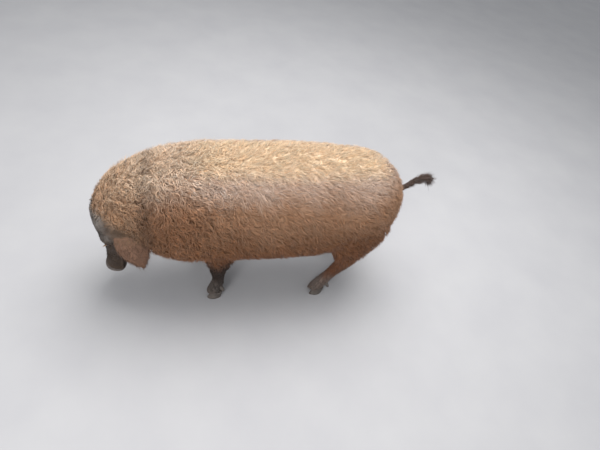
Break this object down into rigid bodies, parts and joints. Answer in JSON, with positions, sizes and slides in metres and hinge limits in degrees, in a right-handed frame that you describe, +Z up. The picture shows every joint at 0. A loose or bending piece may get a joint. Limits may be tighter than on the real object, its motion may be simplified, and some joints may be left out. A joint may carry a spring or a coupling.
{
  "type": "domestic pig, woolly-coated breed",
  "caption": "Life-size still model of a red woolly-coated domestic pig, standing with its head lowered and its lop ears hanging beside its face.",
  "frame": {"origin": "centre of the bounding box at floor level", "axes": "+X from the snout towards the tail, +Y towards the pig's right side, +Z up"},
  "size_m": [1.476, 0.4748, 0.7308],
  "materials": {
    "flank_coat": "woolly red coat",
    "neck_coat": "curly red coat",
    "face": "short-haired muddy skin",
    "snout_skin": "bare slate-grey skin",
    "ear_skin": "short-haired skin",
    "eyeball": "wet gloss",
    "leg_coat": "dark rust, muddy below",
    "hoof_horn": "satin horn",
    "tail_hair": "dark tassel"
  },
  "bodies": {
    "root": {"dewclaw_front_left_left": "hoof_horn", "dewclaw_front_left_right": "hoof_horn", "dewclaw_front_right_left": "hoof_horn", "dewclaw_front_right_right": "hoof_horn", "dewclaw_hind_left_left": "hoof_horn", "dewclaw_hind_left_right": "hoof_horn", "dewclaw_hind_right_left": "hoof_horn", "dewclaw_hind_right_right": "hoof_horn", "ear_left": "ear_skin", "ear_right": "ear_skin", "eye_left": "eyeball", "eye_right": "eyeball", "head": "face", "leg_front_left": "leg_coat", "leg_front_right": "leg_coat", "leg_hind_left": "leg_coat", "leg_hind_right": "leg_coat", "lower_jaw": "face", "neck": "neck_coat", "snout_disc": "snout_skin", "tail": "tail_hair", "toe_front_left_left": "hoof_horn", "toe_front_left_right": "hoof_horn", "toe_front_right_left": "hoof_horn", "toe_front_right_right": "hoof_horn", "toe_hind_left_left": "hoof_horn", "toe_hind_left_right": "hoof_horn", "toe_hind_right_left": "hoof_horn", "toe_hind_right_right": "hoof_horn", "torso": "flank_coat"}
  },
  "joints": []
}
